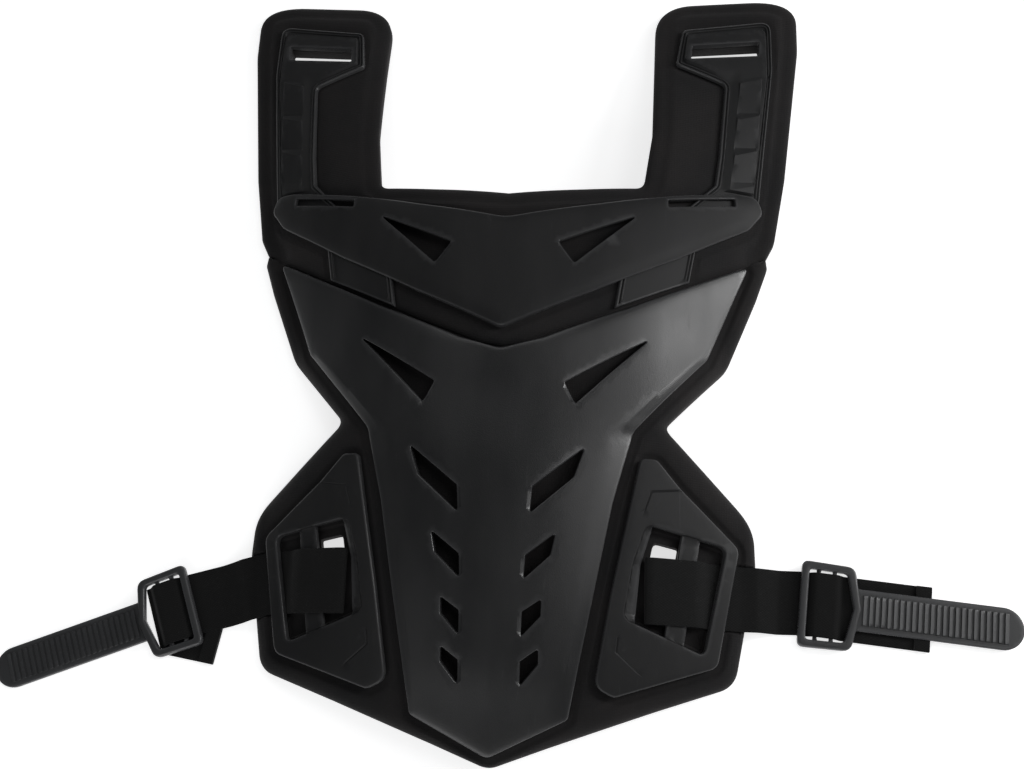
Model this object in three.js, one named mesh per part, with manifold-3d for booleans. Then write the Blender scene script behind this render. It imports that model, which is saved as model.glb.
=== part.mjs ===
// Chest protector lying on its back, front up, straps spread to the sides. Millimetres, +Z up.
import * as THREE from 'three';
import { mergeVertices } from 'three/addons/utils/BufferGeometryUtils.js';
import Module from 'manifold-3d';

const wasm = await Module();
wasm.setup();

// Driving dimensions
const LENGTH_MIDDLE = 4.2; // the outlines' y at half of the overall length
const SEAT_GAP = 0.3;
const PAD_THICK = 10;
const PAD_RIM_THICK = 6.5;
const UPPER_RIM_WIDTH = 9;
const LOWER_RIM_WIDTH = 5;
const PLATE_THICK = 2.6;
const PLATE_RAISE = 1.4;
const FLANGE_WIDTH = 8;
const CHEST_BAR_HEIGHT = 5.9;
const CHEST_BAR_WALL = 4;
const HIP_FRAME_THICK = 4;
const HIP_BAR_THICK = 2.4;
const PANEL_RAISE = 0.9;
const WEB_WIDTH = 38.5;
const WEB_THICK = 1.5;
const CHANNEL_DEPTH = 3;
const POCKET_DEPTH = 3.5;
const BUCKLE_THICK = 4;
const BUCKLE_BAR_THICK = 1.6;
const LADDER_THICK = 2.2;
const LADDER_WIDTH = 25;
const LADDER_END = 118; // centre of the round end, from the buckle's inner edge
const RIB = { count: 24, first: 38.6, pitch: 3.55, width: 2.6, length: 17.5, height: 1.1, toe: 0.2 };

const FRONT = PAD_THICK + SEAT_GAP; // height of a seated plate's back above the pad's back

// Short tables with named columns
const table = (names, rows) => {
  const keys = names.split(' ');
  return rows.map((row) => Object.fromEntries(keys.map((key, i) => [key, row[i] ?? 0])));
};

// The body form: height on the centre line and half width where it meets the floor
const FORM = table('y crown half', [
  [-280, 6, 140], [-230, 17, 140], [-200, 24, 143], [-160, 31, 147], [-120, 36, 147],
  [-80, 40, 146], [-40, 43, 142], [0, 46, 138], [40, 47, 148], [80, 46, 160],
  [120, 42, 168], [160, 34, 175], [200, 22, 180], [240, 7, 184], [280, 0, 186],
]);
const X_LINES = [0, 24, 48, 72, 96, 116, 134, 148, 166, 184, 200];
const Y_STEP = 35;
const Y_LINES = Array.from({ length: 17 }, (_, i) => (i - 8) * Y_STEP);

// Outlines of the right half, from the top of the centre line round to its bottom: x, y, corner radius
const UPPER_PAD = table('x y r', [
  [0, 94], [48, 99.1, 40], [86, 104, 7], [91.5, 145, 40], [94, 261.5, 28], [191.6, 267.5, 32],
  [191.6, 225, 60], [180.2, 125.6, 40], [172.4, 80], [166.8, 69.2], [154, 61.6, 6], [108, 36, 60], [50, 7, 40], [14, -8.6, 12], [0, -11],
]);
const LOWER_PAD = table('x y r', [
  [0, -11.6], [14.2, -9.2, 12], [50.2, 6.4, 40], [108.2, 35.4, 60], [154.6, 61.4], [167.8, 68.6, 2],
  [160, 40, 30], [140.5, -8, 14], [100, -54, 6], [155.4, -108.8, 24], [156.2, -136, 30], [143, -205.4, 16], [94.6, -222.6, 40], [34, -245, 40], [0, -258, 14],
]);
const UPPER_PLATE = table('x y r', [
  [0, 72.6, 30], [57, 84.8, 40], [109, 98, 40], [150, 107.2, 12], [161.6, 107.4, 9], [165.4, 97, 9], [156, 83.4, 14], [109, 54, 60], [55.5, 25, 60], [0, -1.5, 8],
]);
const LOWER_PLATE = table('x y r', [
  [0, -14.6, 12], [26, -6.8, 14], [78, 17.2, 40], [124, 42, 40], [155.1, 59.4, 2],
  [127.5, -7.8, 12], [82.6, -60.2, 12], [70.2, -105.5, 40], [46, -229.6, 4], [0, -252.5, 7],
]);
const UPPER_VENT = table('x y', [[82.5, 78.5], [33.8, 56], [43.9, 42.3]]);
const UPPER_SLOT = table('x y', [[102, 93], [146, 102.4], [146, 97.2], [102, 87.8]]);
const LOWER_VENTS = [
  table('x y', [[91, -1.2], [39.8, -34], [46.5, -46.8]]),
  table('x y', [[52.6, -73.5], [22.4, -98.2], [21.4, -114], [46.4, -91.6]]),
  table('x y', [[36.6, -125], [19.5, -138.3], [18.8, -152], [33.9, -137.8]]),
  table('x y', [[29.3, -163], [18.4, -170.5], [18.1, -184.5], [29.1, -172.6]]),
  table('x y', [[28.2, -190.9], [18, -198.2], [18, -212], [28.3, -199.5]]),
];

// Shoulder plate: outline down to the gap above the main plate, its raised body, its slot and panels
const SHOULDER_PLATE = table('x y r', [
  [162.2, 97, 8], [173.6, 205, 40], [173.2, 245, 8], [112, 236, 5], [107.5, 203.6, 4],
  [140.8, 189.5, 5], [136.2, 132, 30], [133.4, 111, 4], [74, 46, 10], [69.5, 16.4], [116.4, 40.6], [122, 72, 10],
]);
const SHOULDER_BODY = table('x y r', [
  [159.4, 108.4, 2], [161.4, 124, 10], [170.2, 200, 30], [169.8, 239, 6], [115, 232, 4], [112, 206.5, 4], [145.2, 192, 5], [137.2, 107.4],
]);
const SHOULDER_SLOT = table('x y', [[164.4, 226.6], [118.6, 220.6], [117.4, 208.6], [163.4, 215.2]]);
const SHOULDER_PANELS = [
  table('x y', [[166, 196], [150, 190], [149, 167], [165, 170]]),
  table('x y', [[164.5, 167.4], [149, 161.6], [147.2, 140.2], [162.8, 143.4]]),
  table('x y', [[162, 141], [146.4, 134.2], [143, 114.4], [159.4, 118]]),
];

// Hip plate: outline, window, the slanted bar across it and the hole through the pad behind the bar's inner side
const HIP_PLATE = table('x y r', [
  [96, -76.5, 5], [86.4, -76.8, 4], [69.7, -158], [60.6, -211, 9], [72, -216.4, 6], [132.4, -196.4, 8], [146.3, -125.6, 8], [110.5, -93],
]);
const HIP_WINDOW = table('x y r', [
  [138.4, -125.8, 5], [90, -116.2, 6], [82.4, -139.5, 6], [77, -171.4, 6], [124.4, -190, 4],
]);
const HIP_BAR = table('x y', [[123.4, -119], [112.2, -117], [100.8, -184], [112.4, -188]]);
const HIP_HOLE = table('x y r', [[108.4, -127.6], [94, -125, 3], [91, -140], [91, -150], [104.6, -150]]);

// Buckle frame in its own lengthwise (x) and crosswise (y) directions
const BUCKLE = table('x y r', [[0, 26, 4], [31.4, 25, 6], [36.2, 0], [31.4, -25, 6], [0, -26, 4]]);
const BUCKLE_OPEN = table('x y r', [[4.6, 21.2, 2], [27.2, 20.6, 3], [31.8, 0], [27.2, -20.6, 3], [4.6, -21.2, 2]]);
const BUCKLE_BARS = table('from to', [[9, 11.5], [18.5, 21]]);

// Where each strap lies on the floor: buckle's inner edge, the ladder's droop in degrees, heights, hip bar
const STRAPS = table('side x y droop base tip_base bar_y', [
  [1, 182, -154.6, 5.7, 2, 2, -154.6],
  [-1, -189.4, -166.6, 21, 3.6, 0.1, -153.6],
]);
const TURN_LENGTH = 18; // the webbing turns into each new direction over this length
const BAR_X = 112.6;
const BEND = 30; // from the hip bar straight outwards, to where the webbing turns towards the buckle

// Webbing, along its length from the hip bar: middle height above the form
const WEB_LOOP = table('u h', [
  [8.5, 8.8], [-6, 8.8], [-18.8, 8.8], [-22.2, 10], [-23.2, 11.4], [-22.2, 12.9], [-18.8, 14], [-8, 14], [3.4, 14.1], [7, 14],
  [10.5, 12.7], [15.2, 8.9], [20, 8.2], [27, 8.2], [33.5, 8.2], [39, 8.1], [44, 7.9],
]);
const WEB_TAIL_RIGHT = 77;
const WEB_TAIL_LEFT = table('x y', [[-205, -178.6], [-171.3, -184.2]]);

// Curve through a table's rows
function column(rows, key, y) {
  const last = rows.length - 2;
  const i = Math.max(0, Math.min(last, rows.findIndex((row) => row.y >= y) - 1));
  const [a, b] = [rows[i], rows[i + 1]];
  const before = rows[Math.max(0, i - 1)];
  const after = rows[Math.min(rows.length - 1, i + 2)];
  const span = b.y - a.y;
  const t = (y - a.y) / span;
  const slopeA = ((b[key] - before[key]) / (b.y - before.y)) * span;
  const slopeB = ((after[key] - a[key]) / (after.y - a.y)) * span;
  return (2 * t ** 3 - 3 * t ** 2 + 1) * a[key] + (t ** 3 - 2 * t ** 2 + t) * slopeA
    + (3 * t ** 2 - 2 * t ** 3) * b[key] + (t ** 3 - t ** 2) * slopeB;
}

// Height of the pads' back above the floor, flat facets between the grid lines
const nodeHeight = (x, y) => column(FORM, 'crown', y) * Math.max(0, 1 - (x / column(FORM, 'half', y)) ** 2);
function form(x, y) {
  const ax = Math.min(Math.abs(x), 199.9);
  const i = X_LINES.findIndex((line) => line > ax) - 1;
  const j = Math.max(0, Math.min(Y_LINES.length - 2, Math.floor((y - Y_LINES[0]) / Y_STEP)));
  if (ax > 186) return 0;
  const u = (ax - X_LINES[i]) / (X_LINES[i + 1] - X_LINES[i]);
  const v = (y - Y_LINES[j]) / Y_STEP;
  const near = nodeHeight(X_LINES[i], Y_LINES[j]);
  const far = nodeHeight(X_LINES[i + 1], Y_LINES[j + 1]);
  const side = u > v ? nodeHeight(X_LINES[i + 1], Y_LINES[j]) : nodeHeight(X_LINES[i], Y_LINES[j + 1]);
  return u > v ? near + (side - near) * u + (far - side) * v : near + (side - near) * v + (far - side) * u;
}

// Solids
function solid(geometry) {
  const bare = geometry.clone();
  for (const name of Object.keys(bare.attributes)) if (name !== 'position') bare.deleteAttribute(name);
  const merged = mergeVertices(bare, 1e-4);
  return new wasm.Manifold(new wasm.Mesh({
    numProp: 3,
    vertProperties: new Float32Array(merged.attributes.position.array),
    triVerts: new Uint32Array(merged.index.array),
  }));
}
const join = (parts) => parts.reduce((all, part) => all.add(part));
const cut = (body, parts) => parts.reduce((left, part) => left.subtract(part), body);

function shapeOf(rows) {
  const shape = new THREE.Shape();
  rows.forEach((row, i) => {
    const corner = new THREE.Vector2(row.x, row.y);
    const reach = (other) => {
      const to = new THREE.Vector2(other.x, other.y).sub(corner);
      const room = to.length() * 0.48;
      return to.setLength(Math.min(row.tangent, room)).add(corner);
    };
    const before = rows[(i + rows.length - 1) % rows.length];
    const after = rows[(i + 1) % rows.length];
    const into = new THREE.Vector2(before.x, before.y).sub(corner);
    const out = new THREE.Vector2(after.x, after.y).sub(corner);
    const half = Math.abs(into.angleTo(out)) / 2;
    row.tangent = row.r ? row.r / Math.tan(half) : 0;
    const go = i ? 'lineTo' : 'moveTo';
    if (row.tangent < 0.2) {
      shape[go](row.x, row.y);
    } else {
      const a = reach(before);
      const b = reach(after);
      shape[go](a.x, a.y);
      shape.quadraticCurveTo(row.x, row.y, b.x, b.y);
    }
  });
  return shape;
}
const mirrorRows = (rows) => rows.map((row) => ({ ...row, x: -row.x }));
const bothHalves = (rows) => [...rows, ...mirrorRows(rows.filter((row) => row.x > 0)).reverse()];
const bothSides = (rows) => [rows, mirrorRows(rows)];

function inset(rows, distance) {
  const area = rows.reduce((sum, row, i) => {
    const next = rows[(i + 1) % rows.length];
    return sum + row.x * next.y - next.x * row.y;
  }, 0);
  const turn = Math.sign(area) * distance;
  const edges = rows.map((row, i) => {
    const next = rows[(i + 1) % rows.length];
    const length = Math.hypot(next.x - row.x, next.y - row.y);
    const dx = (next.x - row.x) / length;
    const dy = (next.y - row.y) / length;
    return { x: row.x - dy * turn, y: row.y + dx * turn, dx, dy };
  });
  return rows.map((row, i) => {
    const a = edges[(i + rows.length - 1) % rows.length];
    const b = edges[i];
    const cross = a.dx * b.dy - a.dy * b.dx;
    const t = Math.abs(cross) < 0.03 ? 0 : ((b.x - a.x) * b.dy - (b.y - a.y) * b.dx) / cross;
    const spot = Math.abs(cross) < 0.03 ? b : { x: a.x + a.dx * t, y: a.y + a.dy * t };
    return { ...row, x: spot.x, y: spot.y };
  });
}

function prism(rows, low = -20, high = 120, steps = 2) {
  const geometry = new THREE.ExtrudeGeometry(shapeOf(rows), { depth: high - low, bevelEnabled: false, curveSegments: steps });
  return solid(geometry.translate(0, 0, low));
}

function slab(low, high, rows) {
  const within = (lines, key) => {
    const least = Math.min(...rows.map((row) => row[key]));
    const most = Math.max(...rows.map((row) => row[key]));
    return lines.filter((line, i) => (lines[i + 1] ?? line) >= least - 1 && (lines[i - 1] ?? line) <= most + 1);
  };
  const xs = within([...X_LINES.slice(1).map((x) => -x).reverse(), ...X_LINES], 'x');
  const ys = within(Y_LINES, 'y');
  const spots = [];
  for (const height of [low, high]) for (const y of ys) for (const x of xs) spots.push(x, y, nodeHeight(x, y) + height);
  const at = (level, j, i) => (level * ys.length + j) * xs.length + i;
  const faces = [];
  const quad = (a, b, c, d) => faces.push(a, b, c, a, c, d);
  for (let j = 0; j + 1 < ys.length; j += 1) {
    for (let i = 0; i + 1 < xs.length; i += 1) {
      const corners = [[j, i], [j, i + 1], [j + 1, i + 1], [j + 1, i]];
      const turned = xs[i] < 0 ? [...corners.slice(1), corners[0]] : corners;
      quad(...turned.map(([b, a]) => at(1, b, a)));
      const [p, q, r, s] = turned.map(([b, a]) => at(0, b, a));
      faces.push(p, r, q, p, s, r);
    }
  }
  const wall = (a, b) => quad(at(0, ...a), at(0, ...b), at(1, ...b), at(1, ...a));
  for (let i = 0; i + 1 < xs.length; i += 1) {
    wall([0, i], [0, i + 1]);
    wall([ys.length - 1, i + 1], [ys.length - 1, i]);
  }
  for (let j = 0; j + 1 < ys.length; j += 1) {
    wall([j, xs.length - 1], [j + 1, xs.length - 1]);
    wall([j + 1, 0], [j, 0]);
  }
  const geometry = new THREE.BufferGeometry();
  geometry.setAttribute('position', new THREE.Float32BufferAttribute(spots, 3));
  geometry.setIndex(faces);
  return solid(geometry);
}
const sheet = (rows, low, high, steps = 2) => slab(low, high, rows).intersect(prism(rows, -20, 120, steps));

// A sheet whose rim is lower than its middle
function stepped(rows, rim, low, rimHigh, high) {
  const above = slab(rimHigh, high + 6, inset(rows, -3)).subtract(prism(inset(rows, rim), -20, 120, 3));
  return sheet(rows, low, high, 3).subtract(above);
}

// A ribbon: a path in length and height, given thickness and width, laid over the form
function ribbon(path, width, thick, place) {
  const normals = path.map((spot, i) => {
    const a = path[Math.max(0, i - 1)];
    const b = path[Math.min(path.length - 1, i + 1)];
    const length = Math.hypot(b.u - a.u, b.h - a.h);
    return { u: -(b.h - a.h) / length, h: (b.u - a.u) / length };
  });
  const side = (sign) => path.map((spot, i) => ({ u: spot.u + sign * normals[i].u * thick / 2, h: spot.h + sign * normals[i].h * thick / 2 }));
  const ring = [...side(1), ...side(-1).reverse()];
  const across = [-width / 2, 0, width / 2];
  const spots = across.flatMap((t) => ring.flatMap((spot) => place(spot.u, t, spot.h)));
  const caps = THREE.ShapeUtils.triangulateShape(ring.map((spot) => new THREE.Vector2(spot.u, spot.h)), []);
  const clockwise = THREE.ShapeUtils.isClockWise(ring.map((spot) => new THREE.Vector2(spot.u, spot.h)));
  const n = ring.length;
  const faces = [];
  for (let k = 0; k + 1 < across.length; k += 1) {
    for (let i = 0; i < n; i += 1) {
      const [a, b] = [k * n + i, k * n + ((i + 1) % n)];
      faces.push([a, b + n, b], [a, a + n, b + n]);
    }
  }
  for (const [a, b, c] of caps) {
    const low = clockwise ? [a, c, b] : [a, b, c];
    faces.push(low, [low[0] + 2 * n, low[2] + 2 * n, low[1] + 2 * n]);
  }
  const geometry = new THREE.BufferGeometry();
  geometry.setAttribute('position', new THREE.Float32BufferAttribute(spots, 3));
  geometry.setIndex(faces.flat());
  const volume = (g) => {
    const v = [0, 1, 2].map(() => new THREE.Vector3());
    let sum = 0;
    for (let f = 0; f < g.index.count; f += 3) {
      v.forEach((p, k) => p.fromBufferAttribute(g.attributes.position, g.index.getX(f + k)));
      sum += v[0].dot(v[1].clone().cross(v[2]));
    }
    return sum;
  };
  if (volume(geometry) < 0) geometry.setIndex(faces.map(([a, b, c]) => [a, c, b]).flat());
  return solid(geometry);
}

// Strap directions on the floor
const radians = THREE.MathUtils.degToRad;
const heading = (angle) => ({
  along: new THREE.Vector2(Math.cos(angle), Math.sin(angle)),
  across: new THREE.Vector2(-Math.sin(angle), Math.cos(angle)),
});
const hipBar = (strap) => new THREE.Vector2(strap.side * BAR_X, strap.bar_y);
const bend = (strap) => new THREE.Vector2(strap.side * (BAR_X + BEND), strap.bar_y);
const outAngle = (strap) => (strap.side > 0 ? 0 : Math.PI);
const webAngle = (strap) => Math.atan2(strap.y - bend(strap).y, strap.x - bend(strap).x) + (strap.side < 0 ? 2 * Math.PI : 0);
const ladderAngle = (strap) => (strap.side > 0 ? -radians(strap.droop) : Math.PI + radians(strap.droop));

// Pads
const upperPadRows = bothHalves(UPPER_PAD);
const lowerPadRows = bothHalves(LOWER_PAD);
const pad = (rows, rim) => stepped(rows, rim, 0, PAD_RIM_THICK, PAD_THICK);
const slots = bothSides(SHOULDER_SLOT).map((rows) => prism(rows));
const upperPad = cut(pad(upperPadRows, UPPER_RIM_WIDTH), slots);

const channels = STRAPS.flatMap((strap) => {
  const half = WEB_WIDTH / 2 + 1;
  const run = (start, angle, from, to) => {
    const { along, across } = heading(angle);
    const rows = [[from, -half], [to, -half], [to, half], [from, half]].map(([u, t]) => ({
      x: start.x + along.x * u + across.x * t,
      y: start.y + along.y * u + across.y * t,
    }));
    return sheet(rows, PAD_THICK - CHANNEL_DEPTH, PAD_THICK + 8);
  };
  return [run(hipBar(strap), outAngle(strap), 6, BEND + 4), run(bend(strap), webAngle(strap), -6, 44)];
});
const hipPockets = bothSides(HIP_WINDOW).map((rows) => sheet(inset(rows, 1.5), PAD_THICK - POCKET_DEPTH, PAD_THICK + 8));
const hipHoles = bothSides(HIP_HOLE).map((rows) => prism(rows));
const lowerPad = cut(pad(lowerPadRows, LOWER_RIM_WIDTH), [...hipPockets, ...hipHoles, ...channels]);

// Plates
const shoulderPlates = bothSides(SHOULDER_PLATE).map((rows, i) => {
  const own = (outline) => bothSides(outline)[i];
  const body = [sheet(rows, FRONT, FRONT + PLATE_THICK), sheet(own(SHOULDER_BODY), FRONT, FRONT + PLATE_THICK + PLATE_RAISE)];
  const panels = SHOULDER_PANELS.map((panel) => sheet(own(panel), FRONT, FRONT + PLATE_THICK + PLATE_RAISE + PANEL_RAISE));
  return cut(join([...body, ...panels]), [slots[i]]);
});

const upperPlateRows = bothHalves(UPPER_PLATE);
const ceiling = FRONT + PLATE_THICK + 0.4;
const upperPlate = cut(sheet(upperPlateRows, FRONT, FRONT + CHEST_BAR_HEIGHT), [
  sheet(inset(upperPlateRows, CHEST_BAR_WALL), FRONT - 4, ceiling),
  ...bothSides(SHOULDER_PLATE).map((rows) => sheet(inset(rows, -0.6), FRONT - 4, ceiling)),
  ...bothSides(UPPER_VENT).map((rows) => prism(rows)),
  ...bothSides(UPPER_SLOT).map((rows) => prism(rows)),
]);

const lowerPlateRows = bothHalves(LOWER_PLATE);
const lowerPlate = cut(
  stepped(lowerPlateRows, FLANGE_WIDTH, FRONT, FRONT + PLATE_THICK, FRONT + PLATE_THICK + PLATE_RAISE),
  LOWER_VENTS.flatMap((vent) => bothSides(vent)).map((rows) => prism(rows)),
);

const hipPlates = bothSides(HIP_PLATE).map((rows, i) => {
  const frame = sheet(rows, FRONT, FRONT + HIP_FRAME_THICK).subtract(prism(bothSides(HIP_WINDOW)[i]));
  return frame.add(sheet(bothSides(HIP_BAR)[i], FRONT, FRONT + HIP_BAR_THICK));
});

// Straps
const webbings = STRAPS.map((strap) => {
  const start = hipBar(strap);
  const buckle = BEND + Math.hypot(strap.x - bend(strap).x, strap.y - bend(strap).y);
  const angles = [outAngle(strap), webAngle(strap), ladderAngle(strap)];
  const { clamp } = THREE.MathUtils;
  const place = (u, t, h) => {
    const turns = [clamp((u - BEND) / TURN_LENGTH + 0.5, 0, 1), clamp((u - buckle + 4) / TURN_LENGTH + 1, 0, 1)];
    const { across } = heading(angles[0] + (angles[1] - angles[0]) * turns[0] + (angles[2] - angles[1]) * turns[1]);
    const runs = [Math.min(u, BEND), clamp(u - BEND, 0, buckle - BEND), Math.max(u - buckle, 0)];
    const spot = start.clone().addScaledVector(across, t);
    runs.forEach((run, i) => spot.addScaledVector(heading(angles[i]).along, run));
    return [spot.x, spot.y, form(spot.x, spot.y) + h];
  };
  const under = strap.base - SEAT_GAP - WEB_THICK / 2 - 0.05;
  const over = strap.base + BUCKLE_BAR_THICK + SEAT_GAP + WEB_THICK / 2 + 0.05;
  const floor = WEB_THICK / 2 + 0.1;
  const path = [
    ...WEB_LOOP, { u: 50, h: 4.9 }, { u: 57, h: under + 0.2 }, { u: 61, h: under },
    { u: buckle + 5, h: under }, { u: buckle + 8.4, h: over }, { u: buckle + 21.6, h: over }, { u: buckle + 25.2, h: floor },
  ];
  if (strap.side > 0) return ribbon([...path, { u: buckle + WEB_TAIL_RIGHT, h: floor }], WEB_WIDTH, WEB_THICK, place);
  const [a, b] = WEB_TAIL_LEFT;
  const length = Math.hypot(b.x - a.x, b.y - a.y);
  const tail = new THREE.BoxGeometry(length, WEB_WIDTH, WEB_THICK - 0.1);
  tail.rotateZ(Math.atan2(b.y - a.y, b.x - a.x)).translate((a.x + b.x) / 2, (a.y + b.y) / 2, floor - 0.05);
  return ribbon([...path, { u: buckle + 28, h: floor }], WEB_WIDTH, WEB_THICK, place).add(solid(tail));
});

const buckleStraps = STRAPS.map((strap) => {
  const box = (x0, x1, y, z0, z1) => new THREE.BoxGeometry(x1 - x0, y, z1 - z0).translate((x0 + x1) / 2, 0, (z0 + z1) / 2);
  const frame = prism(BUCKLE, 0, BUCKLE_THICK).subtract(prism(BUCKLE_OPEN, -5, BUCKLE_THICK + 5));
  const half = LADDER_WIDTH / 2;
  const ladder = new THREE.Shape();
  ladder.moveTo(31.2, -half).lineTo(LADDER_END, -half).absarc(LADDER_END, 0, half, -Math.PI / 2, Math.PI / 2, false).lineTo(31.2, half);
  ladder.closePath();
  const strip = solid(new THREE.ExtrudeGeometry(ladder, { depth: LADDER_THICK, bevelEnabled: false, curveSegments: 8 }));
  const ribs = Array.from({ length: RIB.count }, (_, i) => {
    const steep = RIB.first + i * RIB.pitch - RIB.width / 2;
    const saw = new THREE.Shape();
    saw.moveTo(steep, LADDER_THICK - 0.5).lineTo(steep + RIB.width, LADDER_THICK - 0.5);
    saw.lineTo(steep + RIB.width, LADDER_THICK + RIB.toe).lineTo(steep, LADDER_THICK + RIB.height);
    const rib = new THREE.ExtrudeGeometry(saw, { depth: RIB.length, bevelEnabled: false });
    return solid(rib.rotateX(Math.PI / 2).translate(0, RIB.length / 2, 0));
  });
  const bars = BUCKLE_BARS.map((bar) => solid(box(bar.from, bar.to, 46, 0, BUCKLE_BAR_THICK)));
  const flat = join([frame, strip.subtract(prism(BUCKLE_OPEN, -5, 10)), ...ribs, ...bars]);
  const geometry = geometryOf(flat);
  const end = LADDER_END + half;
  geometry.rotateY(Math.atan2(strap.base - strap.tip_base, end)).translate(0, 0, strap.base);
  geometry.rotateZ(ladderAngle(strap));
  return geometry.translate(strap.x, strap.y, 0);
});

function geometryOf(body) {
  const mesh = body.getMesh();
  const geometry = new THREE.BufferGeometry();
  const spots = [];
  for (let i = 0; i < mesh.vertProperties.length; i += mesh.numProp) spots.push(...mesh.vertProperties.slice(i, i + 3));
  geometry.setAttribute('position', new THREE.Float32BufferAttribute(spots, 3));
  geometry.setIndex([...mesh.triVerts]);
  return geometry;
}

// Materials and the named pieces
const material = (color, roughness) => new THREE.MeshStandardMaterial({ color, roughness, metalness: 0 });
const FOAM = material(0x1d1c1d, 0.9);
const PLASTIC = material(0x2a2a2b, 0.45);
const WEB = material(0x1b1b1b, 0.95);
const BUCKLE_PLASTIC = material(0x343536, 0.5);

const part = new THREE.Group();
function piece(name, body, look) {
  const geometry = body.isBufferGeometry ? body : geometryOf(body);
  const mesh = new THREE.Mesh(geometry.translate(0, -LENGTH_MIDDLE, 0), look);
  mesh.name = name;
  part.add(mesh);
}
const sides = ['right', 'left'];
piece('upper_pad', upperPad, FOAM);
piece('lower_pad', lowerPad, FOAM);
piece('upper_plate', upperPlate, PLASTIC);
piece('lower_plate', lowerPlate, PLASTIC);
shoulderPlates.forEach((body, i) => piece(`shoulder_plate_${sides[i]}`, body, PLASTIC));
hipPlates.forEach((body, i) => piece(`hip_plate_${sides[i]}`, body, PLASTIC));
webbings.forEach((body, i) => piece(`webbing_${sides[i]}`, body, WEB));
buckleStraps.forEach((geometry, i) => piece(`buckle_strap_${sides[i]}`, geometry, BUCKLE_PLASTIC));

export default part;
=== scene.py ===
"""Motocross chest protector lying on its back: foam pads, moulded plates, side webbing and buckles."""
import math

import bpy
import numpy as np
from mathutils import Matrix, Quaternion, Vector
from mathutils.geometry import delaunay_2d_cdt
from mathutils.kdtree import KDTree


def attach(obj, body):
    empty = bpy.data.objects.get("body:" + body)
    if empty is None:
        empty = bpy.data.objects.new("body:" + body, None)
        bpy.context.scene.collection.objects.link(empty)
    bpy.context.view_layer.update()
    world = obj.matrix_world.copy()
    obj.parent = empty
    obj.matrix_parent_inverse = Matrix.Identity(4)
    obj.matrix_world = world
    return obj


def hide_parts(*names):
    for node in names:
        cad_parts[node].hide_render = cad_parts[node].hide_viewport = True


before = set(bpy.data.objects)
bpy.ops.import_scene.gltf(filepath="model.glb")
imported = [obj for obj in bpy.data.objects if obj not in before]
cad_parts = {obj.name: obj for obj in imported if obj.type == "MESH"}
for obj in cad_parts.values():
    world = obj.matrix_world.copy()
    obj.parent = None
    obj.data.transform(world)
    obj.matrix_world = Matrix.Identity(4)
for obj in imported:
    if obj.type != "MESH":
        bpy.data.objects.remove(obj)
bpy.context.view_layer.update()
scene = bpy.context.scene

# All shapes are worked out in millimetres; the outlines' y is 4.2 mm above the frame's
LENGTH_MIDDLE = 4.2
MM = 0.001

# ---- camera

CAMERA_AT = (74.9, -266.6, 758.3)
CAMERA_RIGHT = (0.99583, 0.04201, -0.08097)
CAMERA_UP = (-0.01468, 0.94987, 0.31229)
CAMERA_BACK = (0.09003, -0.30980, 0.94653)
CAMERA_LENS = 43.32


def row_frame(x, y, z):
    """A point in metres in the frame's own axes."""
    return (x * MM, (y - LENGTH_MIDDLE) * MM, z * MM)


camera = bpy.data.objects.new("camera", bpy.data.cameras.new("camera"))
scene.collection.objects.link(camera)
camera.data.sensor_fit = "HORIZONTAL"
camera.data.sensor_width = 36.0
camera.data.lens = CAMERA_LENS
camera.data.clip_start = 0.01
turn = Matrix((CAMERA_RIGHT, CAMERA_UP, CAMERA_BACK)).transposed().to_4x4()
camera.matrix_world = Matrix.Translation(row_frame(*CAMERA_AT)) @ turn
scene.camera = camera

# ---- dimensions

# Heights above the pads' back
PAD_TOP, SEAT_GAP = 10.0, 0.3
FRONT = PAD_TOP + SEAT_GAP
BAR_TOP = FRONT + 5.9
PLATE_TOP = FRONT + 4.0
WEB_WIDTH, WEB_THICK, WEB_EASE = 38.5, 1.5, 0.05
BUCKLE_THICK, BUCKLE_BAR_THICK, LADDER_THICK = 4.0, 1.6, 2.2
LADDER_END, LADDER_HALF = 118.0, 12.5
RIB_COUNT, RIB_FIRST, RIB_PITCH, RIB_HALF, RIB_RUNOUT = 24, 38.6, 3.55, 8.75, 0.4

# Body form: y, height on the centre line, half width where it meets the floor
FORM = np.array([
    (-280, 6, 140), (-230, 17, 140), (-200, 24, 143), (-160, 31, 147), (-120, 36, 147),
    (-80, 40, 146), (-40, 43, 142), (0, 46, 138), (40, 47, 148), (80, 46, 160),
    (120, 42, 168), (160, 34, 175), (200, 22, 180), (240, 7, 184), (280, 0, 186),
], float)

# Right half outlines, from the top of the centre line round to its bottom: x, y, corner radius
UPPER_PAD = [
    (0, 94, 0), (48, 99.1, 40), (86, 104, 7), (91.5, 145, 40), (94, 261.5, 28), (191.6, 267.5, 32), (191.6, 225, 60),
    (180.2, 125.6, 40), (172.4, 80, 12), (166.8, 69, 1.5), (154, 61.7, 6), (108, 36, 60), (50, 7, 40),
    (14, -8.6, 12), (0, -11, 0),
]
LOWER_PAD = [
    (0, -11.1, 0), (14.1, -8.7, 12), (50.1, 6.9, 40), (108.1, 35.9, 60), (154.6, 61.9, 0),
    (166.5, 68.7, 1), (167.4, 61.5, 6), (160, 40, 30), (140.5, -8, 32),
    (100, -54, 6), (155.4, -108.8, 40), (156.2, -136, 30), (143, -205.4, 16), (94.6, -222.6, 40),
    (34, -245, 40), (0, -258, 14),
]
UPPER_PLATE = [
    (0, 72.6, 30), (57, 84.8, 40), (109, 98, 40), (150, 107.2, 12), (161.6, 107.4, 9),
    (165.4, 97, 9), (156, 83.4, 14), (109, 54, 60), (55.5, 25, 60), (0, -1.5, 8),
]
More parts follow.
